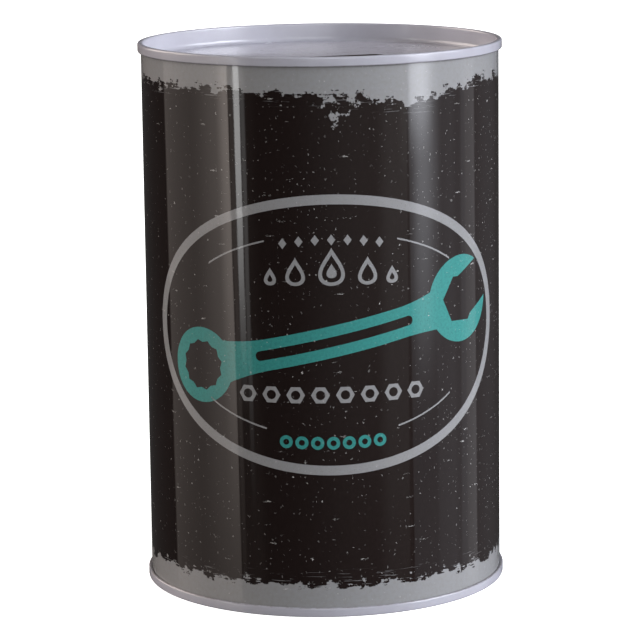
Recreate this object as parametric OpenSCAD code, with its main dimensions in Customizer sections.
// A three-piece tin can made as a money tin: a rolled and welded body, closed
// for good by two recessed ends that are double seamed onto it, with a coin
// slot in the top end. The origin is the centre of the base, +Z is up, and the
// printed front of the can faces -Y, so the body's side weld is at +Y.

/* [Can] */
// Diameter over the seams
rim_d = 100; // [90:1:130]
// Overall height
can_h = 150; // [100:1:200]
// Thickness of the tinplate
sheet = 0.25; // [0.2:0.01:0.28]

/* [Double seams] */
// Height of each seam, from its crest to its foot
seam_h = 2.6; // [2.5:0.05:3.2]
// Space between the folded layers, before any compound
seam_gap = 0.06; // [0.04:0.01:0.08]
// Outer radius of the crest's two corners
crest_r = 0.5; // [0.4:0.05:0.6]
// Depth of sealing compound over the body's flange
compound_h = 0.15; // [0.1:0.01:0.2]
// Length along which the body hook and the cover hook overlap
hook_overlap = 1; // [0.9:0.05:1.1]

/* [Ends] */
// Depth of each end's panel below the crest of its seam
recess = 5.1; // [4:0.1:8]
// Radius in the corner between the panel and its wall
corner_r = 1.2; // [0.8:0.1:2]

/* [Coin slot] */
// Length of the slot, over its round ends
slot_l = 36; // [30:0.5:45]
// Width of the slot
slot_w = 5.2; // [4.5:0.1:6]
// Turn of the slot from the X axis, as the end happened to be seamed on
slot_turn = 15; // [0:1:90]

/* [Side weld] */
// Width of the lap where the body's two edges are welded
weld_w = 0.9; // [0.6:0.1:1.2]
// How far the lap stands proud of the sheet, inside and outside
weld_proud = 0.08; // [0.05:0.01:0.12]

/* [Hidden] */
$fn = 64;
slack = 0.01;                           // between the compound and the sheets it touches
layer = sheet + seam_gap;               // one more layer of the folded seam
rim_r = rim_d / 2;
body_r = rim_r - 3 * layer;             // outside of the body's wall
wall_r = body_r - sheet - layer;        // inside of an end's wall, the side that shows
fold_in_r = layer - sheet / 2;          // inside of a fold that wraps one layer
fold_r = fold_in_r + sheet;             // outside of the same fold
flange_z = -(sheet + compound_h + fold_r);      // centre of the body's fold, below the crest
foot_z = -(seam_h - fold_r);                    // centre of the end's fold
hook_mid = (flange_z + foot_z) / 2;
compound_low = flange_z + fold_r / 2;   // the compound stops here on both sides of the flange

// A rectangle between two corners, given as radius and height
module block(low, high) {
    translate(low) square(high - low);
}

// Half of a bent sheet's ring, on the side that side says: 1 is up, -1 is down
module fold(centre, side) {
    translate(centre) difference() {
        circle(fold_r);
        circle(fold_in_r);
        translate([-fold_r, side > 0 ? -fold_r : 0]) square([2 * fold_r, fold_r]);
    }
}

// A quarter of a bent sheet's ring, in the quadrant that sx and sy point into
module bend(centre, outer_r, sx, sy) {
    translate(centre) intersection() {
        difference() {
            circle(outer_r);
            circle(outer_r - sheet);
        }
        translate([min(0, sx * outer_r), min(0, sy * outer_r)]) square(outer_r);
    }
}

// Section of an end with its crest at height 0: panel, wall, crest, outer wall, foot, cover hook
module end_section() {
    hook_in = rim_r - 2 * fold_r;
    block([0, -recess - sheet], [wall_r - corner_r, -recess]);
    bend([wall_r - corner_r, -recess + corner_r], corner_r + sheet, 1, -1);
    block([wall_r, -recess + corner_r], [wall_r + sheet, -crest_r]);
    bend([wall_r + crest_r, -crest_r], crest_r, -1, 1);
    block([wall_r + crest_r, -sheet], [rim_r - crest_r, 0]);
    bend([rim_r - crest_r, -crest_r], crest_r, 1, 1);
    block([rim_r - sheet, foot_z], [rim_r, -crest_r]);
    fold([rim_r - fold_r, foot_z], -1);
    block([hook_in, foot_z], [hook_in + sheet, hook_mid + hook_overlap / 2]);
}

// Section of the flange that hooks over at one end of the body, below a crest at height 0
module flange_section() {
    hook_in = body_r + 2 * fold_in_r;
    fold([body_r + fold_in_r, flange_z], 1);
    block([hook_in, hook_mid - hook_overlap / 2], [hook_in + sheet, flange_z]);
}

// Section of the compound that fills the crest above the flange. Its round corners are flats,
// drawn inside the crest's corners and outside the flange's fold, so it stays clear of both.
module compound_section() {
    flats = 12;
    inner_r = crest_r - sheet - slack;
    over_fold_r = (fold_r + slack) / cos(180 / flats);
    low = [wall_r + crest_r - inner_r, compound_low];
    high = [rim_r - crest_r + inner_r, -crest_r];
    difference() {
        union() {
            block(low, high);
            block([wall_r + crest_r, compound_low], [rim_r - crest_r, high.y + inner_r]);
            for (r = [wall_r + crest_r, rim_r - crest_r])
                translate([r, -crest_r]) circle(inner_r, $fn = flats);
        }
        translate([body_r + fold_in_r, flange_z]) circle(over_fold_r, $fn = flats);
    }
}

module end_plate() {
    rotate_extrude() end_section();
}

module compound_ring() {
    rotate_extrude() compound_section();
}

module coin_slot() {
    straight = slot_l - slot_w;
    rotate([0, 0, slot_turn]) {
        cube([straight, slot_w, 4 * sheet], center = true);
        for (side = [-1, 1])
            translate([side * straight / 2, 0, 0])
                cylinder(d = slot_w, h = 4 * sheet, center = true);
    }
}

// Puts what is modelled under a crest at height 0 onto the bottom of the can
module at_bottom() {
    mirror([0, 0, 1]) children();
}

// Puts what is modelled under a crest at height 0 onto the top of the can
module at_top() {
    translate([0, 0, can_h]) children();
}

module body_shell() {
    color("#2b2523") union() {
        rotate_extrude() {
            block([body_r - sheet, -flange_z], [body_r, can_h + flange_z]);
            translate([0, can_h]) flange_section();
            mirror([0, 1]) flange_section();
        }
        side_weld();
    }
}

// The welded lap, which the seams cover at its two ends
module side_weld() {
    depth = sheet + 2 * weld_proud;
    translate([-weld_w / 2, body_r - sheet - weld_proud, recess + corner_r])
        cube([weld_w, depth, can_h - 2 * (recess + corner_r)]);
}

module top_end() {
    color("#b9bac8") at_top() difference() {
        end_plate();
        translate([0, 0, -recess - sheet / 2]) coin_slot();
    }
}

module bottom_end() {
    color("#b9bac8") at_bottom() end_plate();
}

module top_seam_compound() {
    color("#6f6a5c") at_top() compound_ring();
}

module bottom_seam_compound() {
    color("#6f6a5c") at_bottom() compound_ring();
}

body_shell();
top_end();
bottom_end();
top_seam_compound();
bottom_seam_compound();
